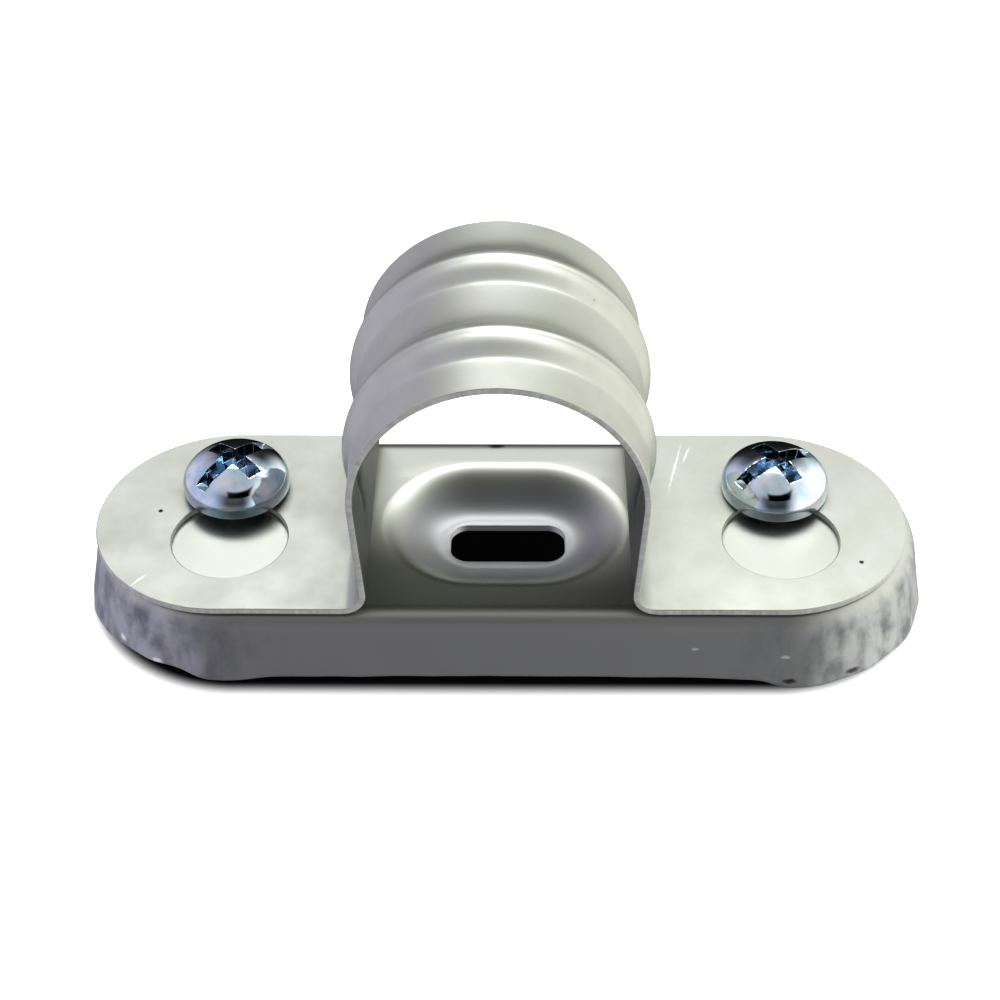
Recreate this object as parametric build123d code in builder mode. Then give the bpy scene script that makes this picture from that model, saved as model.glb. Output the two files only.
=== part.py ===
"""Spacer bar saddle for 20 mm steel conduit.

A pressed tray stands on the wall and holds the conduit off it. A folded strap goes over the
conduit and hooks under two M4 screws through keyholes in its feet. +X runs along the saddle,
+Y along the conduit, +Z away from the wall, and the origin is the middle of the tray's rim.
All sizes are in millimetres.
"""

import os
from math import atan2, cos, radians, sin, tan

from build123d import *

os.makedirs("parts", exist_ok=True)

# Conduit that the saddle holds
conduit_radius = 10.0
conduit_clearance = 0.15

# Pressed tray
tray_height = 6.1
tray_sheet = 0.6
tray_top_length = 62.2
tray_top_width = 20.6
tray_draft = 12.0
tray_edge_radius = 1.7

# Rim, which stands a little off the wall along both sides and lies on it at the round ends
rim_relief_height = 0.9
rim_relief_length = 43.0
rim_relief_run = 2.8
rim_relief_radius = 5.0

# Oval dish that sinks the fixing screw below the conduit
dish_length = 16.4
dish_width = 11.8
dish_depth = 2.1
dish_slope = 52.0
dish_rim_radius = 3.0
dish_floor_radius = 1.5

# Fixing slot, punched a little off the middle of the tray
slot_length = 8.8
slot_width = 4.1
slot_corner_radius = 1.4
slot_shift = 0.2

# Tapped collars, drawn down out of the tray's top
collar_wall = 0.65
collar_depth = 1.5
collar_root_chamfer = 0.4
collar_entry_chamfer = 0.3
thread_clearance = 0.04

# Folded strap, a margin smaller than the tray's top all round. Its keyholes are punched a little
# off its middle, so between the screws the arch stands to one side of the tray's middle.
strap_sheet = 0.5
strap_margin = 0.2
strap_shift = -0.35
leg_lean = 3.5
foot_bend_radius = 1.3

# Pressed stiffening beads, highest at the crown and running out down the legs
bead_height = 0.9
bead_rise = 0.4
bead_crest_width = 2.5
bead_foot_width = 3.8
bead_spacing = 8.9
bead_shift = -0.15
bead_crest_radius = 1.1

# Screws and their keyholes
screw_radius = 1.96
screw_end_distance = 10.05
screw_back = 3.4
screw_length = 6.0
screw_tip_chamfer = 0.5
head_radius = 4.1
head_height = 3.0
head_rim = 0.6
left_head_gap = 0.35
right_head_gap = 0.15
left_head_angle = 47.0
right_head_angle = 31.0
driver_slot_length = 6.6
driver_slot_width = 1.15
driver_slot_depth = 1.2
cross_span = 4.4
cross_width = 1.0
cross_depth = 1.9
cross_taper = 12.0
keyhole_side_clearance = 0.24
keyhole_head_clearance = 0.3
keyhole_travel = 5.7

# Places that follow from the sizes above
tray_top = tray_height
tray_spread = 2 * tray_height * tan(radians(tray_draft))
tray_rim_length = tray_top_length + tray_spread
tray_rim_width = tray_top_width + tray_spread
strap_length = tray_top_length - 2 * strap_margin
strap_width = tray_top_width - 2 * strap_margin
foot_top = tray_top + strap_sheet
arch_radius = conduit_radius + conduit_clearance
arch_height = tray_top + arch_radius
bead_crest = arch_radius + strap_sheet + bead_height - bead_rise
bead_centre = arch_height + bead_rise
bead_places = [(0, bead_shift - bead_spacing / 2), (0, bead_shift + bead_spacing / 2)]
screw_x = strap_length / 2 - screw_end_distance
screw_places = [(-screw_x, screw_back), (screw_x, screw_back)]
thread_radius = screw_radius + thread_clearance
collar_radius = thread_radius + collar_wall
keyhole_y = screw_back - keyhole_travel
keyhole_neck = screw_radius + keyhole_side_clearance
through = 4 * (tray_height + arch_radius)


def pressed_form(inset):
    """The tray as a full form with its dish sunk in, each face moved in by the inset.

    With no inset it is the outer face of the sheet, and with one sheet it is the hollow below.
    Draft and slope are measured square to the sheet, so the wall is equally thick all over.
    """
    top = tray_top - inset
    side_inset = 2 * inset / cos(radians(tray_draft))
    dish_growth = 2 * inset * tan(radians(90 - dish_slope) / 2)
    with BuildPart() as form:
        with BuildSketch(Plane.XY):
            SlotOverall(tray_rim_length - side_inset, tray_rim_width - side_inset)
        extrude(amount=top, taper=tray_draft)
        fillet(form.edges().group_by(Axis.Z)[-1], tray_edge_radius - inset)
        with BuildSketch(Plane.XY.offset(top)):
            SlotOverall(dish_length + dish_growth, dish_width + dish_growth)
        extrude(amount=-dish_depth, taper=dish_slope, mode=Mode.SUBTRACT)
        dish_floor = form.faces().filter_by(Plane.XY).sort_by(Axis.Z)[-2]
        fillet(dish_floor.edges(), dish_floor_radius + inset)
        top_face = form.faces().sort_by(Axis.Z)[-1]
        fillet(top_face.inner_wires()[0].edges(), dish_rim_radius - inset)
    return form.part


with BuildPart() as spacer_base:
    add(pressed_form(0))
    add(pressed_form(tray_sheet), mode=Mode.SUBTRACT)
    # Relief under both sides of the rim
    with BuildSketch(Plane.XZ.offset(-tray_rim_width / 2)) as relief:
        with BuildLine():
            foot_half = rim_relief_length / 2
            Polyline(
                (-foot_half, 0),
                (rim_relief_run - foot_half, rim_relief_height),
                (foot_half - rim_relief_run, rim_relief_height),
                (foot_half, 0),
                close=True,
            )
        make_face()
        fillet(relief.vertices().group_by(Axis.Y)[-1], rim_relief_radius)
    extrude(amount=tray_rim_width, mode=Mode.SUBTRACT)
    # Fixing slot through the floor of the dish
    with BuildSketch(Plane.XY):
        with Locations((slot_shift, 0)):
            RectangleRounded(slot_length, slot_width, slot_corner_radius)
    extrude(amount=tray_height, mode=Mode.SUBTRACT)
    # Collars below the top for the screw threads
    with BuildSketch(Plane.XY.offset(tray_top - tray_sheet)):
        with Locations(*screw_places):
            Circle(collar_radius)
    extrude(amount=-collar_depth)
    collar_roots = spacer_base.edges().filter_by(GeomType.CIRCLE)
    collar_roots = collar_roots.filter_by(lambda e: abs(e.radius - collar_radius) < 1e-4)
    chamfer(collar_roots.group_by(Axis.Z)[-1], collar_root_chamfer)
    with BuildSketch(Plane.XY.offset(tray_top)):
        with Locations(*screw_places):
            Circle(thread_radius)
    extrude(amount=-tray_height, mode=Mode.SUBTRACT)
    bores = spacer_base.edges().filter_by(GeomType.CIRCLE)
    bores = bores.filter_by(lambda e: abs(e.radius - thread_radius) < 1e-4)
    chamfer(bores.group_by(Axis.Z)[-1], collar_entry_chamfer)
spacer_base.part.label = "spacer_base"
export_step(spacer_base.part, "parts/spacer_base.step")


def band_form(radius, foot_z, bend_radius, foot_end, floor_z, width):
    """Arch, leaning legs, bends and feet as one filled form, as wide as asked."""
    lean = radians(leg_lean)
    leg_top = (radius * cos(lean), arch_height - radius * sin(lean))
    leg_foot = (leg_top[0] - (leg_top[1] - foot_z) * tan(lean), foot_z)
    with BuildPart() as form:
        with BuildSketch(Plane.XZ.offset(-width / 2)) as outline:
            with BuildLine():
                arch = CenterArc((0, arch_height), radius, -leg_lean, 90 + leg_lean)
                leg = Polyline(arch @ 0, leg_foot, (foot_end, foot_z))
                Polyline(leg @ 1, (foot_end, floor_z), (0, floor_z), arch @ 1)
            make_face()
            bend = outline.vertices().sort_by_distance(leg_foot)[0]
            fillet(bend, bend_radius)
            mirror(about=Plane.YZ)
        extrude(amount=width)
    return form.part


def bead_disc(inset):
    """Solid of revolution whose rim is one bead, or the groove inside it one sheet below."""
    crest = bead_crest - inset
    slope = atan2(bead_height, (bead_foot_width - bead_crest_width) / 2)
    crest_half = bead_crest_width / 2 - inset * tan(slope / 2)
    root_drop = 2 * bead_height + 2 * bead_rise
    root_half = crest_half + root_drop / tan(slope)
    with BuildPart() as disc:
        with BuildSketch(Plane.XY.offset(bead_centre)) as section:
            with BuildLine():
                Polyline(
                    (0, -root_half),
                    (crest - root_drop, -root_half),
                    (crest, -crest_half),
                    (crest, crest_half),
                    (crest - root_drop, root_half),
                    (0, root_half),
                    close=True,
                )
            make_face()
            fillet(section.vertices().group_by(Axis.X)[-1], bead_crest_radius - inset)
        revolve(axis=Axis((0, 0, bead_centre), (0, 1, 0)))
    return disc.part


outer_bead = bead_disc(0)
inner_bead = bead_disc(strap_sheet)

with BuildPart() as strap_outside:
    outer_radius = arch_radius + strap_sheet
    add(band_form(outer_radius, foot_top, foot_bend_radius, strap_length, tray_top, strap_width))
    with Locations(*bead_places):
        add(outer_bead)

with BuildPart() as strap_inside:
    inner_bend = foot_bend_radius + strap_sheet
    add(band_form(arch_radius, tray_top, inner_bend, 2 * strap_length, -tray_height, 2 * strap_width))
    with Locations(*bead_places):
        add(inner_bead)

with BuildPart() as saddle_strap:
    add(strap_outside)
    add(strap_inside, mode=Mode.SUBTRACT)
    # Full round ends
    with BuildSketch(Plane.XY):
        SlotOverall(strap_length, strap_width)
    extrude(amount=through, mode=Mode.INTERSECT)
    # Keyholes: a round hole that passes the screw head and a narrow way behind it
    with BuildSketch(Plane.XY.offset(tray_top)):
        for x in (-screw_x - strap_shift, screw_x - strap_shift):
            with Locations((x, screw_back)):
                Circle(keyhole_neck)
            with Locations((x, keyhole_y)):
                Circle(head_radius + keyhole_head_clearance)
            with Locations((x, (keyhole_y + screw_back) / 2)):
                Rectangle(2 * keyhole_neck, keyhole_travel)
    extrude(amount=strap_sheet, mode=Mode.SUBTRACT)
hooked_strap = Pos(strap_shift, 0, 0) * saddle_strap.part
hooked_strap.label = "saddle_strap"
export_step(hooked_strap, "parts/saddle_strap.step")


def screw(x, head_gap, angle, label):
    """Slotted and crossed M4 screw with a low domed head, its thread as a plain shank."""
    seat = foot_top + head_gap
    dome_rise = head_height - head_rim
    dome_radius = (head_radius**2 + dome_rise**2) / (2 * dome_rise)
    with BuildPart() as turned:
        with BuildSketch(Plane.XZ):
            with BuildLine():
                rim = Polyline(
                    (0, seat - screw_length),
                    (screw_radius, seat - screw_length),
                    (screw_radius, seat),
                    (head_radius, seat),
                    (head_radius, seat + head_rim),
                )
                dome = RadiusArc(rim @ 1, (0, seat + head_height), -dome_radius)
                Line(dome @ 1, rim @ 0)
            make_face()
        revolve(axis=Axis.Z)
        tip = turned.edges().filter_by(GeomType.CIRCLE).group_by(Axis.Z)[0]
        chamfer(tip, screw_tip_chamfer)
        # Driver slot right across and the deeper tapered cross in the middle
        head_top = Plane.XY.offset(seat + head_height).rotated((0, 0, angle))
        with BuildSketch(head_top):
            SlotOverall(driver_slot_length, driver_slot_width)
        extrude(amount=-driver_slot_depth, mode=Mode.SUBTRACT)
        with BuildSketch(head_top):
            Rectangle(cross_span, cross_width)
            Rectangle(cross_width, cross_span)
        extrude(amount=-cross_depth, taper=cross_taper, mode=Mode.SUBTRACT)
    placed = Pos(x, screw_back, 0) * turned.part
    placed.label = label
    export_step(placed, f"parts/{label}.step")


screw(-screw_x, left_head_gap, left_head_angle, "left_screw")
screw(screw_x, right_head_gap, right_head_angle, "right_screw")
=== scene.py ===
from math import atan2, copysign, cos, hypot, pi, radians, sin, sqrt, tan

import bmesh
import bpy
from mathutils import Matrix, Vector, noise


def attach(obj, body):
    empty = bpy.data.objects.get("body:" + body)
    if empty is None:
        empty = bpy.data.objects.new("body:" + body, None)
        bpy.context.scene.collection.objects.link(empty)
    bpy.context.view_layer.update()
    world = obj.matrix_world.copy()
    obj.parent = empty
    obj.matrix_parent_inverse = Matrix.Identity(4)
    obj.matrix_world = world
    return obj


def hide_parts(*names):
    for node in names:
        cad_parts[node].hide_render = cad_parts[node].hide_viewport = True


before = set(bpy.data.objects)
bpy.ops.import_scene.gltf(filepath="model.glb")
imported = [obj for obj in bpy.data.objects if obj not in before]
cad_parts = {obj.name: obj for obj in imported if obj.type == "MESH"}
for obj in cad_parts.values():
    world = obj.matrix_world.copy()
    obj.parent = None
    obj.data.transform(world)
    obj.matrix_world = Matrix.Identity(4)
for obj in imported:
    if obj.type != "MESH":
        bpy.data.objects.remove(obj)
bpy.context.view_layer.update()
sharpAngle = radians(38)
cutMargin = 0.0003  # how far a cutter or a joined form reaches past the surface that it meets
seamTurn = 0.01  # keeps the seams of spun shells off the axes
markUnevenness = 0.0002  # how far the edge of a scratch or speck wanders


def toLinear(code):
    # sRGB hex code to the linear colour that the shaders take
    channels = [int(code[i:i + 2], 16) / 255 for i in (1, 3, 5)]
    return [c / 12.92 if c <= 0.04045 else ((c + 0.055) / 1.055) ** 2.4 for c in channels] + [1]


def addNode(tree, kind, values=(), links=(), **settings):
    # One node with its settings, the values of its inputs and the links that feed them
    node = tree.nodes.new("ShaderNode" + kind)
    for name, value in settings.items():
        setattr(node, name, value)
    for name, value in dict(values).items():
        node.inputs[name].default_value = value
    for name, source in dict(links).items():
        tree.links.new(source, node.inputs[name])
    return node


def newMaterial(name):
    material = bpy.data.materials.new(name)
    material.use_nodes = True
    return material, material.node_tree, material.node_tree.nodes["Principled BSDF"]


def markCover(tree, place, marks):
    # How far small marks cover a point: middle and half sizes in mm and the turn about Z in degrees
    uneven = addNode(tree, "TexNoise", {"Scale": 3000, "Detail": 1}, {"Vector": place})
    shaken = addNode(tree, "VectorMath", {1: (markUnevenness,) * 3}, {0: uneven.outputs[1], 2: place},
                     operation="MULTIPLY_ADD")
    cover = None
    for middle, sizes, turn in marks:
        spot = addNode(tree, "Mapping", {
            "Location": [v / 1000 + markUnevenness / 2 for v in middle], "Rotation": (0, 0, radians(turn)),
            "Scale": [v / 1000 for v in sizes]}, {"Vector": shaken.outputs[0]}, vector_type="TEXTURE")
        far = addNode(tree, "VectorMath", {}, {0: spot.outputs[0]}, operation="LENGTH")
        near = addNode(tree, "MapRange", {"From Min": 1.1, "From Max": 0.5}, {"Value": far.outputs["Value"]})
        cover = near.outputs[0] if cover is None else addNode(
            tree, "Math", {}, {0: cover, 1: near.outputs[0]}, operation="MAXIMUM").outputs[0]
    return cover


def meshObject(name, bm):
    # Turns a finished bmesh into an object in the scene
    mesh = bpy.data.meshes.new(name)
    bm.to_mesh(mesh)
    bm.free()
    obj = bpy.data.objects.new(name, mesh)
    bpy.context.scene.collection.objects.link(obj)
    return obj


def cutMesh(obj, cutters, operations):
    # Applies one Boolean per cutter and removes the cutters
    for cutter, operation in zip(cutters, operations):
        boolean = obj.modifiers.new(cutter.name, "BOOLEAN")
        boolean.object = cutter
        boolean.operation = operation
        boolean.solver = "EXACT"
    evaluated = obj.evaluated_get(bpy.context.evaluated_depsgraph_get())
    mesh = bpy.data.meshes.new_from_object(evaluated)
    obj.modifiers.clear()
    obj.data = mesh
    for cutter in cutters:
        bpy.data.objects.remove(cutter)


def finishPiece(obj, material, body, node):
    # Material, body and the CAD node that the piece stands for
    mesh = obj.data
    mesh.materials.clear()
    mesh.materials.append(material)
    weighted = obj.modifiers.new("faceWeights", "WEIGHTED_NORMAL")
    weighted.keep_sharp = True
    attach(obj, body)
    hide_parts(node)
    print(obj.name, len(mesh.polygons), "faces")


def blendCurve(points, x):
    # Height at x of a soft curve through the points
    if x <= points[0][0]:
        return points[0][1]
    for (x0, y0), (x1, y1) in zip(points, points[1:]):
        if x <= x1:
            f = (x - x0) / (x1 - x0)
            return y0 + (y1 - y0) * f * f * (3 - 2 * f)
    return points[-1][1]


def ovalPoint(index, arcSteps, lineSteps, centre, radius, lift=0):
    # Point of an oval: two half circles about x = -centre and centre, joined by straight sides.
    # The lift sets the half circles' own halves apart, for a rectangle with round corners.
    half = arcSteps + lineSteps
    side = 1 if index < half else -1
    step = index % half
    if step <= arcSteps:
        angle = pi * (step / arcSteps - 0.5)
        return side * (centre + radius * cos(angle)), side * (radius * sin(angle) + copysign(lift, angle))
    return side * centre * (1 - 2 * (step - arcSteps) / lineSteps), side * (radius + lift)


def ovalShell(bm, rings, arcSteps, lineSteps, place):
    # Sweeps an oval through the rings; place gives the point of a ring at a step round it
    count = 2 * (arcSteps + lineSteps)
    stepLayer = bm.verts.layers.int.new("step")
    loop = bmesh.ops.create_circle(bm, segments=count, radius=1)["verts"]
    for index, vert in enumerate(loop):
        vert[stepLayer] = index
        vert.co = place(rings[0], index)
    edges = list({e for v in loop for e in v.link_edges})
    for ring in rings[1:]:
        grown = bmesh.ops.extrude_edge_only(bm, edges=edges)["geom"]
        edges = [g for g in grown if isinstance(g, bmesh.types.BMEdge)]
        for vert in [g for g in grown if isinstance(g, bmesh.types.BMVert)]:
            vert.co = place(ring, vert[stepLayer])
    return edges


def filletPoints(corner, start, turn, radius, steps):
    # Points (distance, height) of a round corner; start is the heading before it, turn the change
    reach = radius * tan(abs(turn) / 2)
    side = copysign(1, turn)
    x, z = corner[0] - reach * cos(start), corner[1] - reach * sin(start)
    cx, cz = x - side * radius * sin(start), z + side * radius * cos(start)
    points = []
    for k in range(steps + 1):
        heading = start + turn * k / steps
        points.append((cx + side * radius * sin(heading), cz - side * radius * cos(heading)))
    return points


# Strap: a flat blank is cut, its beads are pressed and it is folded, as the real one is made
strap = {
    "sheet": 0.0005,
    "halfLength": 0.0309,
    "halfWidth": 0.0101,
    "shift": -0.00035,  # the arch stands to one side of the screws
    "archRadius": 0.0104,  # at the middle of the sheet
    "archHeight": 0.01625,
    "lean": 3.5,
    "bendRadius": 0.00155,  # at the middle of the sheet
    "footHeight": 0.00635,  # middle of the sheet in the feet
    "beadPlaces": (-0.0046, 0.0043),
    "beadRadius": 0.01115,
    "beadRise": 0.0004,
    "beadHeight": 0.0009,
    "beadCrest": 0.0007,  # half widths
    "beadFoot": 0.0021,
    "beadRounding": 0.0022,
    "beadCrease": (0.0005, 0.00012),  # behind and in front of each bead
    "beadFade": 0.0006,
    "holeX": 0.02085,
    "holeWide": 0.0044,
    "holeWideY": -0.0023,
    "holeNeck": 0.0022,
    "holeNeckY": 0.0034,
    "edgeRound": 0.0001,
    "waviness": 0.00004,
    "footWaves": (160, 110, 3),  # waves per metre along and across the sheet, and where the noise starts
    "archWaves": (110, 60, 7),
    "outlineSteps": (95, 420),  # steps round each end and along each side; short ones fold cleanly
    "keyholeSteps": 128,
    "keyholeShare": 0.72,  # of the steps go round the wide end
    "rowSteps": (0.00034, 0.0004, 0.00016, 0.0013),  # along the arch, the legs, the bends and the feet
    "bendMargin": 0.0012,  # of the legs is stepped as finely as the bends
    "beadSteps": [(0.0007, 0.00014), (0.0018, 0.00013), (0.0023, 0.000055), (0.0026, 0.00015)],
    "betweenBeads": (-0.00155, 0.00045, 6),  # first column, step and number of columns
    "outerColumns": (-0.0103, -0.0099, -0.0092, -0.0085, -0.0078, 0.0076, 0.0083, 0.009, 0.0098, 0.0103),
}
lean = radians(strap["lean"])
arcTurn = pi / 2 + lean
arcLength = strap["archRadius"] * arcTurn
legTop = (strap["archRadius"] * cos(lean), strap["archHeight"] - strap["archRadius"] * sin(lean))
bendReach = strap["bendRadius"] * tan(arcTurn / 2)
legLength = (legTop[1] - strap["footHeight"]) / cos(lean) - bendReach
bendLength = strap["bendRadius"] * arcTurn
bendStart = (legTop[0] - legLength * sin(lean), legTop[1] - legLength * cos(lean))
bendCentre = (bendStart[0] + strap["bendRadius"] * cos(lean), bendStart[1] - strap["bendRadius"] * sin(lean))
footStart = arcLength + legLength + bendLength
footShift = bendCentre[0] - footStart  # from length along the sheet to x in the feet


def foldPoint(length):
    # Point and outward normal of the sheet's middle at a length along it from the crown
    side, s = copysign(1, length), abs(length)
    if s < arcLength:
        turn = pi / 2 - s / strap["archRadius"]
        x, z = strap["archRadius"] * cos(turn), strap["archHeight"] + strap["archRadius"] * sin(turn)
    elif s < arcLength + legLength:
        turn = -lean
        run = s - arcLength
        x, z = legTop[0] - run * sin(lean), legTop[1] - run * cos(lean)
    elif s < footStart:
        turn = (s - arcLength - legLength) / strap["bendRadius"] - lean
        x, z = bendCentre[0] - strap["bendRadius"] * cos(turn), bendCentre[1] - strap["bendRadius"] * sin(turn)
    else:
        turn = pi / 2
        x, z = s + footShift, strap["footHeight"]
    return side * x, z, side * cos(turn), sin(turn)


def beadReach(x, z, nx, nz):
    # How far a bead stands out of the sheet here; it runs out softly down the legs
    dx, dz = x + nx * strap["sheet"] / 2, z + nz * strap["sheet"] / 2 - strap["archHeight"] - strap["beadRise"]
    along = dx * nx + dz * nz
    inside = along * along - dx * dx - dz * dz + strap["beadRadius"] ** 2
    if inside <= 0 or nz < -0.5:
        return 0
    reach = sqrt(inside) - along
    fade = strap["beadFade"]
    return (reach + sqrt(reach * reach + fade * fade * 0.02)) / 2 if reach > -fade else 0


beadSlope = atan2(strap["beadHeight"], strap["beadFoot"] - strap["beadCrest"])


def beadLift(y, depth, reach):
    # Section of a bead: round crest, straight flanks and a crease at the foot, soft behind and crisp in front
    if reach < 1e-6:
        return 0
    lift = 0
    for place in strap["beadPlaces"]:
        inset = depth * tan(beadSlope / 2)
        crest = strap["beadCrest"] - inset
        rounding = max(strap["beadRounding"] - depth, 0.0003)
        u = abs(y - place)
        flat = crest - rounding * tan(beadSlope / 2)
        if u <= flat:
            drop = 0
        elif u <= flat + rounding * sin(beadSlope):
            drop = rounding - sqrt(rounding ** 2 - (u - flat) ** 2)
        else:
            drop = (u - crest) * tan(beadSlope)
        height = reach - drop
        crease = strap["beadCrease"][y < place]
        lift += (height + sqrt(height * height + crease * crease)) / 2 if height > -12 * crease else 0
    return lift


def axisSteps(stops):
    # Positions along one axis: (end, step) pairs from zero outwards
    values, here = [0.0], 0.0
    for end, step in stops:
        count = max(1, round((end - here) / step))
        values += [here + (end - here) * (k + 1) / count for k in range(count)]
        here = end
    return values


archStep, legStep, bendStep, footStep = strap["rowSteps"]
halfRows = axisSteps([
    (arcLength, archStep), (arcLength + legLength - strap["bendMargin"], legStep), (footStart + 0.0002, bendStep),
    (strap["halfLength"] - footShift + 0.0004, footStep),
])
rows = sorted({-s for s in halfRows} | set(halfRows))
firstColumn, columnStep, columnCount = strap["betweenBeads"]
columns = {p + s * u for p in strap["beadPlaces"] for u in axisSteps(strap["beadSteps"]) for s in (-1, 1)}
columns |= {firstColumn + columnStep * k for k in range(columnCount)} | set(strap["outerColumns"])
columns = sorted(columns)
bm = bmesh.new()
bmesh.ops.create_grid(bm, x_segments=len(rows) - 1, y_segments=len(columns) - 1, size=1)
lastRow, lastColumn = len(rows) - 1, len(columns) - 1
for vert in bm.verts:
    i, j = round((vert.co.x + 1) / 2 * lastRow), round((vert.co.y + 1) / 2 * lastColumn)
    vert.co = (rows[i], columns[j], 0)
blank = meshObject("saddle_band", bm)
thick = blank.modifiers.new("sheet", "SOLIDIFY")
thick.thickness = strap["sheet"]
thick.offset = 0


def edgeRings(size):
    # (inset, height) pairs of a cutter's side that leaves round edges on the sheet
    half, r = strap["sheet"] / 2, strap["edgeRound"]
    side = [(r * (1 - cos(a)), half - r + r * sin(a)) for a in (0, radians(35), radians(68))]
    side.append((2.2 * r, half + 0.6 * r))
    return [(d * size, -z) for d, z in reversed(side)] + [(d * size, z) for d, z in side]


def keyholePoint(index, count, centre, grow):
    # Outline of one keyhole, grown all round; wide round end first and then the narrow one
    wide, neck = strap["holeWide"] + grow, strap["holeNeck"] + grow
    split = round(count * strap["keyholeShare"])
    corner = atan2(sqrt(wide * wide - neck * neck), neck)
    if index < split:
        angle = pi - corner + index / (split - 1) * (pi + 2 * corner)
        return centre + wide * cos(angle), strap["holeWideY"] + wide * sin(angle)
    angle = pi * (index - split) / (count - split - 1)
    return centre + neck * cos(angle), strap["holeNeckY"] + neck * sin(angle)


def capRings(bm):
    # Closes the two open ends of a swept shell
    openEdges = [e for e in bm.edges if e.is_boundary]
    bmesh.ops.holes_fill(bm, edges=openEdges, sides=0)
    bmesh.ops.recalc_face_normals(bm, faces=bm.faces)


bm = bmesh.new()
endCentre = strap["halfLength"] - strap["halfWidth"] - footShift
ovalShell(bm, edgeRings(1), *strap["outlineSteps"], lambda ring, k: (
    *ovalPoint(k, *strap["outlineSteps"], endCentre, strap["halfWidth"] - ring[0]), ring[1]))
capRings(bm)
outlineCutter = meshObject("outline", bm)
keyholeCutters = []
for side in (-1, 1):
    bm = bmesh.new()
    middle = side * (strap["holeX"] - footShift) - strap["shift"]
    count = strap["keyholeSteps"]
    ovalShell(bm, edgeRings(-1), count // 2, 0, lambda ring, k: (
        *keyholePoint(k, count, middle, -ring[0]), ring[1]))
    capRings(bm)
    keyholeCutters.append(meshObject("keyhole", bm))
cutMesh(blank, [outlineCutter] + keyholeCutters, ["INTERSECT", "DIFFERENCE", "DIFFERENCE"])

bm = bmesh.new()
bm.from_mesh(blank.data)
bm.normal_update()
uvLayer = bm.loops.layers.uv.new("sheet")
edgeLayer = bm.loops.layers.uv.new("cutEdge")
for face in bm.faces:
    face.smooth = True
    for loop in face.loops:
        loop[uvLayer].uv = (loop.vert.co.x, loop.vert.co.y)
        loop[edgeLayer].uv = (float(abs(face.normal.z) < 0.5), loop.vert.co.z / strap["sheet"])
for edge in bm.edges:
    levels = [abs(face.normal.z) for face in edge.link_faces]
    edge.smooth = not (max(levels) > 0.999 > min(levels))
for vert in bm.verts:
    s, y, h = vert.co
    x, z, nx, nz = foldPoint(s)
    reach = beadReach(x, z, nx, nz)
    lift = h + beadLift(y, strap["sheet"] / 2 - h, reach)
    alongWaves, acrossWaves, waveStart = strap["footWaves" if abs(s) > footStart else "archWaves"]
    lift += strap["waviness"] * noise.noise(Vector((s * alongWaves, y * acrossWaves, waveStart)))
    vert.co = (x + nx * lift + strap["shift"], y, z + nz * lift)
blankMesh = blank.data
bm.to_mesh(blankMesh)
bm.free()
print("strap folded")

# Tray: rings from the fixing slot through the dish, top and wall down to the rim
tray = {
    "sheet": 0.0006,
    "height": 0.0061,
    "topLength": 0.0311,  # half sizes of the top before its edge is rounded
    "topWidth": 0.0103,
    "draft": 12,
    "edgeRadius": 0.0017,
    "dishLength": 0.0082,
    "dishWidth": 0.0059,
    "dishDepth": 0.0021,
    "dishOuter": 0.0073,  # half width where the dish starts to sink
    "slotLength": 0.0044,
    "slotWidth": 0.00205,
    "slotCorner": 0.0014,
    "slotShift": 0.0002,
    "slotLip": 0.0006,  # flat floor round the slot
    "screwX": 0.02085,
    "screwY": 0.0034,
    "bore": 0.002,
    "collar": 0.00265,
    "collarDepth": 0.0015,  # below the sheet
    "collarRound": 0.0001,
    "edgeRound": 0.00007,
    "boreFlare": 0.0012,
    "wrinkle": 0.00018,
    "wrinkleScale": (420, 90),  # per metre, round the wall and up it
    "wrinkleZone": (0.002, 0.006),  # begins this far before the end arcs, and its reach
    "wrinkleBias": 0.3,  # they lie mostly inwards
    "sideShare": 0.35,  # of the wrinkles is left on the straight sides
    "rimSpread": 1.12,  # length round the rim's end arcs against that of the top's
    "roundedFrom": 55,  # degrees between faces
    "rings": (24, 8, 14, 16),  # in the dish, on the top, round its edge and down the wall
    "arcSteps": 91,
    "lineSteps": 70,
    # Height of the drawn rim off the wall, by the distance round each side from its middle
    "frontRim": [
        (-0.039, 0.0), (-0.034, 0.0004), (-0.029, 0.001), (-0.0255, 0.0011), (-0.0215, 0.00055),
        (-0.0205, 0.0005), (-0.017, 0.0009), (0, 0.001), (0.014, 0.0009), (0.0185, 0.0007),
        (0.0212, 0.0), (0.039, 0.0),
    ],
    "backRim": [
        (-0.0215, 0.0), (-0.0185, 0.0009), (0.0185, 0.0009), (0.0215, 0.0),
    ],
}
draft = radians(tray["draft"])
endX = tray["topLength"] - tray["topWidth"]
dishX = tray["dishLength"] - tray["dishWidth"]
section = []
floorZ = tray["height"] - tray["dishDepth"]
floorWidth = tray["slotWidth"] + tray["slotLip"]
dishRings, topRings, roundRings, wallRings = tray["rings"]
for k in range(dishRings + 1):
    f = k / dishRings
    section.append((dishX, floorWidth + (tray["dishOuter"] - floorWidth) * f,
                    floorZ + tray["dishDepth"] * f * f * (3 - 2 * f), 0))
edgePoints = filletPoints((tray["topWidth"], tray["height"]), 0, draft - pi / 2, tray["edgeRadius"], roundRings)
for k in range(1, topRings):
    f = k / topRings
    section.append((dishX + (endX - dishX) * f, tray["dishOuter"] + (edgePoints[0][0] - tray["dishOuter"]) * f,
                    tray["height"], 0))
section += [(endX, r, z, 0) for r, z in edgePoints]
section += [(endX, *edgePoints[-1], k / wallRings) for k in range(1, wallRings + 1)]


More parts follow.
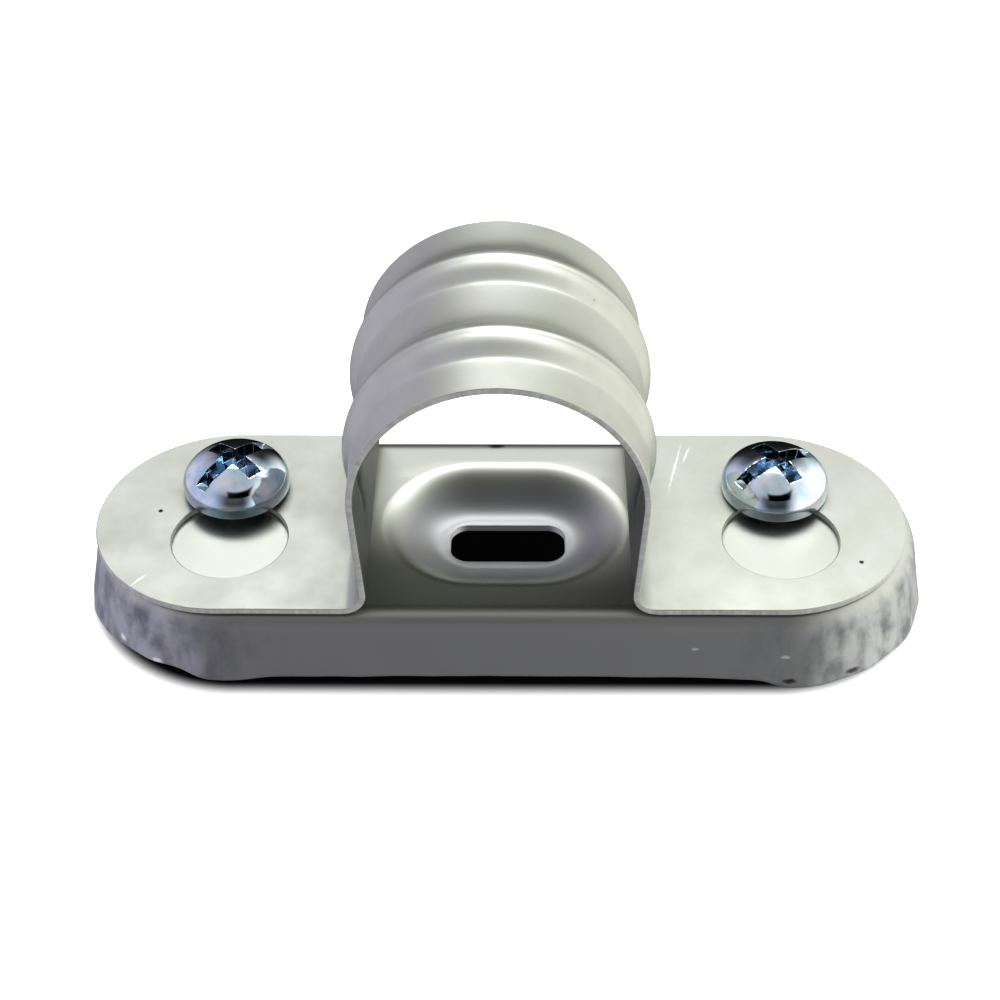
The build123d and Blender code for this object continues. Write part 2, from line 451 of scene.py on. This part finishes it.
def sideDistance(x, y):
    # Distance along one long side and its end arcs, from the side's middle
    if abs(x) <= endX:
        return x
    turn = atan2(abs(x) - endX, abs(y))
    return copysign(endX + tray["topWidth"] * tray["rimSpread"] * turn, x)


def trayPoint(ring, index):
    if ring == "slot":
        centre, corner = tray["slotLength"] - tray["slotCorner"], tray["slotCorner"]
        x, y = ovalPoint(index, tray["arcSteps"], tray["lineSteps"], centre, corner,
                         tray["slotWidth"] - corner)
        return x + tray["slotShift"], y, floorZ
    centre, radius, z, wall = ring
    x, y = ovalPoint(index, tray["arcSteps"], tray["lineSteps"], centre, radius)
    if not wall:
        return x, y, z
    points = tray["frontRim"] if y < 0 else tray["backRim"]
    low = blendCurve(points, sideDistance(x, y))
    height = z + (low - z) * wall
    spread = radius + (z - height) * tan(draft)
    x, y = ovalPoint(index, tray["arcSteps"], tray["lineSteps"], centre, spread)
    outX, outY = (x - copysign(endX, x), y) if abs(x) > endX else (0, y)
    length = hypot(outX, outY)
    # Drawn corners wrinkle; the sides stay nearly plain
    before, reach = tray["wrinkleZone"]
    amount = tray["wrinkle"] * wall * (tray["sideShare"] + min(1, max(0, (abs(x) - endX + before) / reach)))
    across, upward = tray["wrinkleScale"]
    push = amount * (noise.noise(Vector((x * across, y * across, height * upward))) - tray["wrinkleBias"])
    return x + outX / length * push, y + outY / length * push, height


bm = bmesh.new()
ovalShell(bm, ["slot"] + section, tray["arcSteps"], tray["lineSteps"], trayPoint)
bmesh.ops.recalc_face_normals(bm, faces=bm.faces)
highest = max(bm.faces, key=lambda f: f.calc_center_median().z)
if highest.normal.z < 0:
    bmesh.ops.reverse_faces(bm, faces=bm.faces)
tub = meshObject("spacer_tray", bm)
thick = tub.modifiers.new("sheet", "SOLIDIFY")
thick.thickness = tray["sheet"]
thick.offset = -1
thick.use_even_offset = True
rounding = tub.modifiers.new("edges", "BEVEL")
rounding.width = tray["edgeRound"]
rounding.segments = 2
rounding.limit_method = "ANGLE"
rounding.angle_limit = radians(tray["roundedFrom"])
rounding.use_clamp_overlap = False


def spunShell(bm, profile, x, y, steps, turn=0):
    # Closed shell from a profile of (radius, height) points spun about an upright axis
    verts = [bm.verts.new((x + r * cos(turn), y + r * sin(turn), z)) for r, z in profile]
    edges = [bm.edges.new(pair) for pair in zip(verts, verts[1:])]
    bmesh.ops.spin(bm, geom=verts + edges, cent=(x, y, 0), axis=(0, 0, 1), angle=2 * pi, steps=steps,
                   use_merge=True)
    bmesh.ops.remove_doubles(bm, verts=bm.verts, dist=1e-7)
    bmesh.ops.recalc_face_normals(bm, faces=bm.faces)


under = tray["height"] - tray["sheet"]
collar, collarRound, collarEnd = tray["collar"], tray["collarRound"], under - tray["collarDepth"]
collarProfile = [
    (0, under + cutMargin), (collar + 4 * collarRound, under + cutMargin), (collar + 4 * collarRound, under),
    (collar + collarRound, under - 2 * collarRound), (collar, under - 5 * collarRound),
    (collar, collarEnd + 0.6 * collarRound), (collar - collarRound, collarEnd), (0, collarEnd),
]
boreTop, boreEnd = tray["height"] + 0.001, 0.001
boreProfile = [
    (0, boreTop), (tray["bore"] + tray["boreFlare"], boreTop),
    (tray["bore"], tray["height"] - 0.0002), (tray["bore"], boreEnd), (0, boreEnd),
]
trayCutters = []
for profile, steps in ((collarProfile, 56), (boreProfile, 48)):
    bm = bmesh.new()
    for side in (-1, 1):
        spunShell(bm, profile, side * tray["screwX"], tray["screwY"], steps, seamTurn)
    trayCutters.append(meshObject("collar", bm))
cutMesh(tub, trayCutters, ["UNION", "DIFFERENCE"])
print("tray drawn")

# Screws: low domed head, driver slot with the deeper cross, and a thread of real pitch
screws = {
    "radius": 0.00195,
    "core": 0.0016,
    "pitch": 0.0007,
    "length": 0.006,
    "tip": 0.0005,
    "tooth": (0.36, 0.48, 0.84),  # start and end of its crest and its foot, as shares of the pitch
    "threadTop": 0.3,  # pitches above the seat, inside the head
    "headRadius": 0.0041,
    "headHeight": 0.003,
    "headRim": 0.0006,
    "rimRound": 0.00014,
    "edgeRound": 0.00005,
    "roundedFrom": 40,  # degrees between faces
    "headSteps": 128,
    "domeSteps": 32,
    "threadSteps": 40,
    "slotLength": 0.0039,  # half sizes
    "slotWidth": 0.00052,
    "slotDepth": 0.0012,
    "slotEnd": (0.9, 8),  # rounding of its ends as a share of the width, and steps
    "crossLength": 0.0026,
    "crossWidth": 0.00062,
    "crossDepth": 0.0022,
    "crossTaper": 0.8,  # size of the cross at its floor against its top
    "seat": 0.0066,
    "placed": {
        "left_screw": (-0.02085, 0.0034, 0.00035, 47),
        "right_screw": (0.02085, 0.0034, 0.00015, 31),
    },
}


def screwBody(name, x, y, gap, angle):
    bm = bmesh.new()
    seat, r = screws["seat"] + gap, screws["headRadius"]
    rise = screws["headHeight"] - screws["headRim"]
    rim = screws["rimRound"]
    profile = [(0, seat)]
    profile += [(r - rim + rim * sin(a), seat + rim - rim * cos(a)) for a in (0, 0.5, 1.05, pi / 2)]
    # Steep shoulder that rounds over into a flatter top
    top = seat + screws["headRim"]
    for k in range(screws["domeSteps"] + 1):
        a = pi / 2 * (1 - k / screws["domeSteps"])
        profile.append((r * sin(a), top + rise * cos(a)))
    spunShell(bm, profile, x, y, screws["headSteps"], seamTurn)
    head = meshObject(name + "_visual", bm)
    # One plus-shaped cutter with drafted sides for the cross, and a shallower one for the slot
    topZ = seat + screws["headHeight"]
    arm, wide = screws["crossLength"], screws["crossWidth"]
    quarter = [(arm, -wide), (arm, wide), (wide, wide)]
    plus = [(qx * cos(t) - qy * sin(t), qx * sin(t) + qy * cos(t))
            for t in (0, pi / 2, pi, 3 * pi / 2) for qx, qy in quarter]
    crossForm = bmesh.new()
    ring = bmesh.ops.create_circle(crossForm, cap_ends=True, segments=12, radius=1)["verts"]
    for vert, (px, py) in zip(ring, plus):
        vert.co = (px, py, topZ + cutMargin)
    grown = bmesh.ops.extrude_face_region(crossForm, geom=crossForm.faces[:])["geom"]
    for vert in [g for g in grown if isinstance(g, bmesh.types.BMVert)]:
        vert.co = (vert.co.x * screws["crossTaper"], vert.co.y * screws["crossTaper"], topZ - screws["crossDepth"])
    slotForm = bmesh.new()
    bmesh.ops.create_cube(slotForm, size=2)
    for vert in slotForm.verts:
        vert.co = (screws["slotLength"] * vert.co.x, screws["slotWidth"] * vert.co.y,
                   topZ + (cutMargin if vert.co.z > 0 else -screws["slotDepth"]))
    upright = [e for e in slotForm.edges if abs(e.verts[0].co.z - e.verts[1].co.z) > 0.001]
    roundShare, roundSteps = screws["slotEnd"]
    bmesh.ops.bevel(slotForm, geom=upright, offset=screws["slotWidth"] * roundShare, offset_type="OFFSET",
                    segments=roundSteps, profile=0.5, affect="EDGES", material=-1)
    cutters = []
    for part, form in (("Cross", crossForm), ("Slot", slotForm)):
        bmesh.ops.rotate(form, verts=form.verts, matrix=Matrix.Rotation(radians(angle), 3, "Z"))
        bmesh.ops.translate(form, verts=form.verts, vec=(x, y, 0))
        bmesh.ops.recalc_face_normals(form, faces=form.faces)
        cutters.append(meshObject(name + part, form))
    cutMesh(head, cutters, ["DIFFERENCE"] * 2)
    edges = head.modifiers.new("edges", "BEVEL")
    edges.width = screws["edgeRound"]
    edges.segments = 2
    edges.limit_method = "ANGLE"
    edges.angle_limit = radians(screws["roundedFrom"])
    edges.use_clamp_overlap = False
    cutMesh(head, [], [])

    # Thread: one tooth carried round and down the shank, then cut off flat at the tip
    bm = bmesh.new()
    bm.from_mesh(head.data)
    tipZ, steps, pitch = seat - screws["length"], screws["threadSteps"], screws["pitch"]
    turns = int(screws["length"] / pitch) + 2
    crestStart, crestEnd, foot = screws["tooth"]
    core, radius = screws["core"], screws["radius"]
    tooth = [(core, 0), (radius, crestStart), (radius, crestEnd), (core, foot)]
    verts = [bm.verts.new((x + rr, y, seat + pitch * (screws["threadTop"] + f))) for rr, f in tooth]
    verts.append(bm.verts.new((x + core, y, seat + pitch * (screws["threadTop"] + 1))))
    spine = [bm.edges.new(pair) for pair in zip(verts, verts[1:])]
    before = set(bm.verts) - set(verts)
    bmesh.ops.spin(bm, geom=verts + spine, cent=(x, y, 0), axis=(0, 0, 1), dvec=(0, 0, -pitch / steps),
                   angle=-2 * pi * turns, steps=steps * turns, use_merge=False)
    threadVerts = [v for v in bm.verts if v not in before]
    bmesh.ops.remove_doubles(bm, verts=threadVerts, dist=1e-6)
    threadVerts = [v for v in bm.verts if v not in before]
    faces = list({f for v in threadVerts for f in v.link_faces})
    edgesNow = list({e for v in threadVerts for e in v.link_edges})
    bmesh.ops.bisect_plane(bm, geom=threadVerts + edgesNow + faces, plane_co=(0, 0, tipZ),
                           plane_no=(0, 0, -1), clear_outer=True)
    ends = [e for e in bm.edges if e.is_boundary]
    low = [e for e in ends if all(abs(v.co.z - tipZ) < 1e-6 for v in e.verts)]
    bmesh.ops.holes_fill(bm, edges=low, sides=0)
    for v in bm.verts:
        if v not in before and v.co.z < tipZ + screws["tip"]:
            out = Vector((v.co.x - x, v.co.y - y))
            limit = radius - (tipZ + screws["tip"] - v.co.z)
            if out.length > limit:
                out *= limit / out.length
                v.co.x, v.co.y = x + out.x, y + out.y
    bmesh.ops.recalc_face_normals(bm, faces=[f for f in bm.faces if f.verts[0] not in before])
    bm.to_mesh(head.data)
    bm.free()
    return head


screwPieces = {name: screwBody(name, *spot) for name, spot in screws["placed"].items()}
for piece in [tub, *screwPieces.values()]:
    piece.data.shade_smooth()
    piece.data.set_sharp_from_angle(angle=sharpAngle)
print("screws turned")

# Zinc-coated strip: even satin grey with a soft rolled grain, so that beads and bends shade softly
strapLook = {
    "pale": "#D2D4CE",
    "dull": "#BFC1B8",
    "roughness": (0.44, 0.54),
    "grain": (90, 1500),  # per metre, along and across the rolling
    "patch": 260,
    "grainDepth": 0.0000012,
    "rippleDepth": 0.000004,
    "cutTone": ("#B9BAB6", "#F2F3EE"),
    "cutTears": (2600, 0.9),
    "paintedShadeInsideTone": "#8C8E8B",  # painted shade: the sheet's inner face is darker, as the inside of the fold lies in shade
    "specks": [((6.3, 2.9, 24.6), (0.26, 0.26, 0.4), 0), ((-26.5, 0.8, 6.6), (0.2, 0.2, 0.4), 0),
               ((26.6, -4.9, 6.6), (0.2, 0.2, 0.4), 0), ((27.5, -7.8, 6.6), (0.4, 0.25, 0.4), 40)],
    "scratches": [((13.3, 6.0, 6.6), (0.11, 3.2, 0.4), -13), ((14.3, 7.6, 6.6), (0.1, 1.2, 0.4), -19),
                  ((-27.1, -7.0, 6.6), (0.11, 0.95, 0.4), -38)],
    "speckTone": "#3C3A36",
    "scratchTone": "#E6E8E2",
}
strapMetal, tree, shader = newMaterial("electrogalvanised_strip")
sheetPlace = addNode(tree, "UVMap", uv_map="sheet").outputs["UV"]
grainPlace = addNode(tree, "Mapping", {"Scale": (*strapLook["grain"], 1)}, {"Vector": sheetPlace})
grain = addNode(tree, "TexNoise", {"Scale": 1, "Detail": 3}, {"Vector": grainPlace.outputs[0]})
patches = addNode(tree, "TexNoise", {"Scale": strapLook["patch"], "Detail": 4, "Roughness": 0.6},
                  {"Vector": sheetPlace})
tone = addNode(tree, "Mix", {6: toLinear(strapLook["pale"]), 7: toLinear(strapLook["dull"])},
               {0: patches.outputs[0]}, data_type="RGBA")
shine = addNode(tree, "MapRange", {"To Min": strapLook["roughness"][0], "To Max": strapLook["roughness"][1],
                                   "From Min": 0.3, "From Max": 0.7}, {"Value": patches.outputs[0]})
ripple = addNode(tree, "Bump", {"Distance": strapLook["rippleDepth"], "Strength": 1},
                 {"Height": patches.outputs[0]})
fine = addNode(tree, "Bump", {"Distance": strapLook["grainDepth"], "Strength": 1},
               {"Height": grain.outputs[0], "Normal": ripple.outputs[0]})
# Sheared edges are torn and pale, half coat and half bare steel, so they shade like a light matt line
edgePlace = addNode(tree, "UVMap", uv_map="cutEdge").outputs["UV"]
edgeParts = addNode(tree, "SeparateXYZ", {}, {0: edgePlace})
tearPlace = addNode(tree, "Mapping", {"Scale": (strapLook["cutTears"][0],) * 2 + (1,)}, {"Vector": sheetPlace})
tears = addNode(tree, "TexNoise", {"Scale": strapLook["cutTears"][1], "Detail": 2},
                {"Vector": tearPlace.outputs[0]})
tornTone = addNode(tree, "Mix", {6: toLinear(strapLook["cutTone"][0]), 7: toLinear(strapLook["cutTone"][1])},
                   {0: tears.outputs[0]}, data_type="RGBA")
# Painted shade: the inner face of the sheet, below its middle, takes the darker inside tone
inside = addNode(tree, "MapRange", {"From Min": 0.1, "From Max": -0.1}, {"Value": edgeParts.outputs[1]})
insideShadedTone = addNode(tree, "Mix", {7: toLinear(strapLook["paintedShadeInsideTone"])}, {0: inside.outputs[0], 6: tone.outputs[2]},
                    data_type="RGBA")
allTone = addNode(tree, "Mix", {}, {0: edgeParts.outputs[0], 6: insideShadedTone.outputs[2], 7: tornTone.outputs[2]},
                  data_type="RGBA")
strapPlace = addNode(tree, "TexCoord").outputs["Object"]
scratched = addNode(tree, "Mix", {7: toLinear(strapLook["scratchTone"])}, {
    0: markCover(tree, strapPlace, strapLook["scratches"]), 6: allTone.outputs[2]}, data_type="RGBA")
specked = addNode(tree, "Mix", {7: toLinear(strapLook["speckTone"])}, {
    0: markCover(tree, strapPlace, strapLook["specks"]), 6: scratched.outputs[2]}, data_type="RGBA")
metal = addNode(tree, "MapRange", {"To Min": 1, "To Max": 0.15}, {"Value": edgeParts.outputs[0]})
matt = addNode(tree, "Math", {1: 0.25}, {0: edgeParts.outputs[0], 2: shine.outputs[0]},
               operation="MULTIPLY_ADD")
tree.links.new(specked.outputs[2], shader.inputs["Base Color"])
tree.links.new(metal.outputs[0], shader.inputs["Metallic"])
tree.links.new(matt.outputs[0], shader.inputs["Roughness"])
tree.links.new(fine.outputs[0], shader.inputs["Normal"])

# Zinc-coated deep drawn sheet: smooth on top, streaked upwards on the wall, rubbed grey at its ends
trayLook = {
    "pale": "#CBCDC5",
    "dull": "#94969A",
    # painted shade: the wall is a little darker and greyer than the top
    "wallShadedTone": "#BDBEBF",
    "topRoughness": 0.42,
    "wallRoughness": 0.5,
    "mottled": 0.1,  # added where the drawn ends are rubbed
    "streak": (700, 700, 260),
    "patch": 330,
    "streakDepth": 0.000004,
    "mottleDepth": 0.00003,
    "wallZone": (0.0048, 0.0060),
    "endZone": (0.014, 0.027),
    "rubs": [((-25.9, -10.1, 1.3), (0.5, 0.6, 0.25), 0), ((-28.8, -8.0, 1.6), (0.4, 0.4, 0.3), 0),
             ((14.0, -10.9, 3.4), (0.32, 0.6, 0.14), 0), ((20.7, -11.0, 2.7), (0.4, 0.6, 0.16), 0)],
    # Small dark spots: one on the top under the back of the arch and three at the foot of the wall
    "darkSpots": [((-0.75, 9.4, 6.1), (0.75, 0.45, 0.4), 0), ((26.0, -10.3, 0.5), (0.7, 0.7, 0.3), 0),
                ((21.1, -11.5, 0.6), (0.6, 0.7, 0.25), 0), ((-24.5, -10.9, 0.7), (0.8, 0.7, 0.3), 0)],
    "rubTone": "#F2F3F1",
    "darkSpotTone": "#6A6660",
}
trayMetal, tree, shader = newMaterial("electrogalvanised_drawn_sheet")
place = addNode(tree, "TexCoord").outputs["Object"]
streakPlace = addNode(tree, "Mapping", {"Scale": trayLook["streak"]}, {"Vector": place})
streak = addNode(tree, "TexNoise", {"Scale": 1, "Detail": 4}, {"Vector": streakPlace.outputs[0]})
patches = addNode(tree, "TexNoise", {"Scale": trayLook["patch"], "Detail": 5, "Roughness": 0.65},
                  {"Vector": place})
worn = addNode(tree, "Math", {}, {0: streak.outputs[0], 1: patches.outputs[0]}, operation="MULTIPLY")
wear = addNode(tree, "MapRange", {"From Min": 0.18, "From Max": 0.36}, {"Value": worn.outputs[0]})
spots = addNode(tree, "SeparateXYZ", {}, {0: place})
onWall = addNode(tree, "MapRange", {"From Min": trayLook["wallZone"][1], "From Max": trayLook["wallZone"][0]},
                 {"Value": spots.outputs[2]}, interpolation_type="SMOOTHSTEP")
fromMiddle = addNode(tree, "Math", {}, {0: spots.outputs[0]}, operation="ABSOLUTE")
atEnds = addNode(tree, "MapRange", {"From Min": trayLook["endZone"][0], "From Max": trayLook["endZone"][1]},
                 {"Value": fromMiddle.outputs[0]}, interpolation_type="SMOOTHSTEP")
rubbed = addNode(tree, "Math", {}, {0: onWall.outputs[0], 1: atEnds.outputs[0]}, operation="MULTIPLY")
rubbedWear = addNode(tree, "Math", {}, {0: rubbed.outputs[0], 1: wear.outputs[0]}, operation="MULTIPLY")
# Painted shade: the wall's tone is a little darker than the top's
plain = addNode(tree, "Mix", {6: toLinear(trayLook["pale"]), 7: toLinear(trayLook["wallShadedTone"])},
                {0: onWall.outputs[0]}, data_type="RGBA")
tone = addNode(tree, "Mix", {7: toLinear(trayLook["dull"])},
               {0: rubbedWear.outputs[0], 6: plain.outputs[2]}, data_type="RGBA")
rubbedTone = addNode(tree, "Mix", {7: toLinear(trayLook["rubTone"])}, {
    0: markCover(tree, place, trayLook["rubs"]), 6: tone.outputs[2]}, data_type="RGBA")
darkSpotted = addNode(tree, "Mix", {7: toLinear(trayLook["darkSpotTone"])}, {
    0: markCover(tree, place, trayLook["darkSpots"]), 6: rubbedTone.outputs[2]}, data_type="RGBA")
base = addNode(tree, "MapRange", {"To Min": trayLook["topRoughness"], "To Max": trayLook["wallRoughness"]},
               {"Value": onWall.outputs[0]})
shine = addNode(tree, "Math", {1: trayLook["mottled"]}, {0: rubbedWear.outputs[0], 2: base.outputs[0]},
                operation="MULTIPLY_ADD")
mottle = addNode(tree, "Bump", {"Distance": trayLook["mottleDepth"]},
                 {"Height": patches.outputs[0], "Strength": rubbed.outputs[0]})
fine = addNode(tree, "Bump", {"Distance": trayLook["streakDepth"]},
               {"Height": streak.outputs[0], "Normal": mottle.outputs[0], "Strength": onWall.outputs[0]})
tree.links.new(darkSpotted.outputs[2], shader.inputs["Base Color"])
tree.links.new(shine.outputs[0], shader.inputs["Roughness"])
tree.links.new(fine.outputs[0], shader.inputs["Normal"])
shader.inputs["Metallic"].default_value = 1

# Bright blue-white zinc plate: nearly a mirror, tinted cold in patches
screwLook = {
    "cold": "#B9D2E0",
    "warm": "#E4E6EE",
    "roughness": (0.06, 0.14),
    "patch": 700,
    "depth": 0.000004,
}
screwMetal, tree, shader = newMaterial("blue_white_zinc_plate")
place = addNode(tree, "TexCoord").outputs["Object"]
patches = addNode(tree, "TexNoise", {"Scale": screwLook["patch"], "Detail": 3}, {"Vector": place})
tint = addNode(tree, "MapRange", {"From Min": 0.35, "From Max": 0.65}, {"Value": patches.outputs[0]})
tone = addNode(tree, "Mix", {6: toLinear(screwLook["cold"]), 7: toLinear(screwLook["warm"])},
               {0: tint.outputs[0]}, data_type="RGBA")
shine = addNode(tree, "MapRange", {"To Min": screwLook["roughness"][0], "To Max": screwLook["roughness"][1]},
                {"Value": tint.outputs[0]})
dents = addNode(tree, "Bump", {"Distance": screwLook["depth"], "Strength": 1}, {"Height": patches.outputs[0]})
tree.links.new(tone.outputs[2], shader.inputs["Base Color"])
tree.links.new(shine.outputs[0], shader.inputs["Roughness"])
tree.links.new(dents.outputs[0], shader.inputs["Normal"])
shader.inputs["Metallic"].default_value = 1

finishPiece(blank, strapMetal, "strap", "saddle_strap")
finishPiece(tub, trayMetal, "base", "spacer_base")
for name, piece in screwPieces.items():
    finishPiece(piece, screwMetal, name, name)

# Floor, studio light and camera
studio = {
    "floorSize": 1.2,
    "floorColour": "#F4F4F4",
    "floorShade": "#0C0C0D",
    "floorGlow": 0.55,
    # Painted shadow below the object, where the floor turns dark and stops glowing: half length of its straight
    # part, inner and outer radius
    "shade": (0.0200, 0.0110, 0.0129),
    # Colour and brightness of the room by the sine of the elevation, behind and in front
    "behind": [(-1.0, 0.02), (-0.2, 0.02), (0.2, 0.03), (0.55, 0.07), (0.7, 0.36), (0.9, 0.6), (1.0, 0.5)],
    "front": [(-1.0, 0.1), (-0.6, 0.16), (-0.3, 0.22), (0.0, 0.2),
              (0.35, 0.08), (0.72, 0.12), (0.86, 0.42), (1.0, 0.5)],
    "frontToBehind": (-0.7, 0.5),
    "left": ("#C6C3D2", 0.22, 0.7),  # colour, and where it takes over from the middle of the room
    "right": ("#FFFFFA", 0.25, 0.75),
    "card": {"x": (0.1, 0.36, 0.3), "z": (0.8, 0.12, 0.08)},  # dark card in front: middle, outside, inside
    "key": {"place": (0.03, 0.145, 0.25), "sizes": (0.3, 0.06), "power": 0.255},
}
bm = bmesh.new()
bmesh.ops.create_grid(bm, x_segments=1, y_segments=1, size=studio["floorSize"] / 2)
floor = meshObject("floor", bm)
paper, tree, shader = newMaterial("white_paper")
shader.inputs["Roughness"].default_value = 0.9
shader.inputs["Emission Color"].default_value = toLinear("#FFFFFF")
place = addNode(tree, "TexCoord").outputs["Object"]
halfShade, shadeStart, shadeEnd = studio["shade"]
parts = addNode(tree, "SeparateXYZ", {}, {0: place})
aside = addNode(tree, "Math", {}, {0: parts.outputs[0]}, operation="ABSOLUTE")
beyond = addNode(tree, "Math", {1: halfShade}, {0: aside.outputs[0]}, operation="SUBTRACT")
outX = addNode(tree, "Math", {1: 0}, {0: beyond.outputs[0]}, operation="MAXIMUM")
offset = addNode(tree, "CombineXYZ", {}, {0: outX.outputs[0], 1: parts.outputs[1]})
away = addNode(tree, "VectorMath", {}, {0: offset.outputs[0]}, operation="LENGTH")
# Painted shadow: the floor's glow and pale colour fade out to dark under the object
glow = addNode(tree, "MapRange", {"From Min": shadeStart, "From Max": shadeEnd, "To Max": studio["floorGlow"]},
               {"Value": away.outputs["Value"]}, interpolation_type="SMOOTHSTEP")
lit = addNode(tree, "MapRange", {"From Min": shadeStart, "From Max": shadeEnd},
              {"Value": away.outputs["Value"]}, interpolation_type="SMOOTHSTEP")
tone = addNode(tree, "Mix", {6: toLinear(studio["floorShade"]), 7: toLinear(studio["floorColour"])},
               {0: lit.outputs[0]}, data_type="RGBA")
tree.links.new(tone.outputs[2], shader.inputs["Base Color"])
tree.links.new(glow.outputs[0], shader.inputs["Emission Strength"])
floor.data.materials.append(paper)
floor.visible_glossy = False
floor.visible_diffuse = False  # its paleness is not to light the piece from below

world = bpy.data.worlds.new("studio")
bpy.context.scene.world = world
world.use_nodes = True
tree = world.node_tree
background = tree.nodes["Background"]
sky = addNode(tree, "TexCoord").outputs["Generated"]
split = addNode(tree, "SeparateXYZ", {}, {0: sky})
height = addNode(tree, "MapRange", {"From Min": -1, "From Max": 1}, {"Value": split.outputs[2]})
sides = []
brightest = max(level for place, level in studio["behind"] + studio["front"])
for side in ("front", "behind"):
    ramp = addNode(tree, "ValToRGB", {}, {0: height.outputs[0]})
    stops = ramp.color_ramp.elements
    for number, (place, level) in enumerate(studio[side]):
        stop = stops[number] if number < 2 else stops.new((place + 1) / 2)
        stop.position = (place + 1) / 2
        stop.color = (level / brightest,) * 3 + (1,)
    sides.append(ramp.outputs[0])
turnStart, turnEnd = studio["frontToBehind"]
turnBack = addNode(tree, "MapRange", {"From Min": turnStart, "From Max": turnEnd},
                   {"Value": split.outputs[1]}, interpolation_type="SMOOTHSTEP")
room = addNode(tree, "Mix", {}, {0: turnBack.outputs[0], 6: sides[0], 7: sides[1]}, data_type="RGBA")
picture = room.outputs[2]
for sign, side in ((-1, "left"), (1, "right")):
    code, start, end = studio[side]
    share = addNode(tree, "MapRange", {"From Min": sign * start, "From Max": sign * end},
                    {"Value": split.outputs[0]}, interpolation_type="SMOOTHSTEP")
    colour = [channel / brightest for channel in toLinear(code)[:3]] + [1]
    picture = addNode(tree, "Mix", {7: colour}, {0: share.outputs[0], 6: picture}, data_type="RGBA").outputs[2]
cover = addNode(tree, "MapRange", {"From Min": 0, "From Max": -0.1}, {"Value": split.outputs[1]}).outputs[0]
for axis, source in (("x", split.outputs[0]), ("z", split.outputs[2])):
    middle, outside, inside = studio["card"][axis]
    offset = addNode(tree, "Math", {1: middle}, {0: source}, operation="SUBTRACT")
    size = addNode(tree, "Math", {}, {0: offset.outputs[0]}, operation="ABSOLUTE")
    within = addNode(tree, "MapRange", {"From Min": outside, "From Max": inside}, {"Value": size.outputs[0]},
                     interpolation_type="SMOOTHSTEP")
    cover = addNode(tree, "Math", {}, {0: cover, 1: within.outputs[0]}, operation="MULTIPLY").outputs[0]
picture = addNode(tree, "Mix", {7: (0, 0, 0, 1)}, {0: cover, 6: picture}, data_type="RGBA").outputs[2]
tree.links.new(picture, background.inputs["Color"])
background.inputs["Strength"].default_value = brightest

key = bpy.data.lights.new("softbox", "AREA")
key.shape = "RECTANGLE"
key.size, key.size_y = studio["key"]["sizes"]
key.energy = studio["key"]["power"]
keyObject = bpy.data.objects.new("softbox", key)
keyObject.location = studio["key"]["place"]
keyObject.rotation_euler = Vector(studio["key"]["place"]).to_track_quat("Z", "Y").to_euler()
bpy.context.scene.collection.objects.link(keyObject)

camera = {
    "target": (-0.0003755, 0, 0.0084272),
    "distance": 0.15123,
    "elevation": 40.904,
    "turn": 0.8601,
    "roll": -0.4835,
    "lens": 71.73,
}
rise, turn, roll = (radians(camera[k]) for k in ("elevation", "turn", "roll"))
back = Vector((sin(turn) * cos(rise), -cos(turn) * cos(rise), sin(rise)))
right = (-back).cross(Vector((0, 0, 1))).normalized()
up = back.cross(right)
right, up = right * cos(roll) + up * sin(roll), up * cos(roll) - right * sin(roll)
lens = bpy.data.cameras.new("camera")
lens.lens = camera["lens"]
lens.clip_start = 0.01
cameraObject = bpy.data.objects.new("camera", lens)
spot = Vector(camera["target"]) + back * camera["distance"]
cameraObject.matrix_world = Matrix.Translation(spot) @ Matrix((right, up, back)).transposed().to_4x4()
bpy.context.scene.collection.objects.link(cameraObject)
bpy.context.scene.camera = cameraObject
bpy.context.scene.view_settings.view_transform = "Standard"
bpy.context.scene.view_settings.look = "High Contrast"
print("stage set")
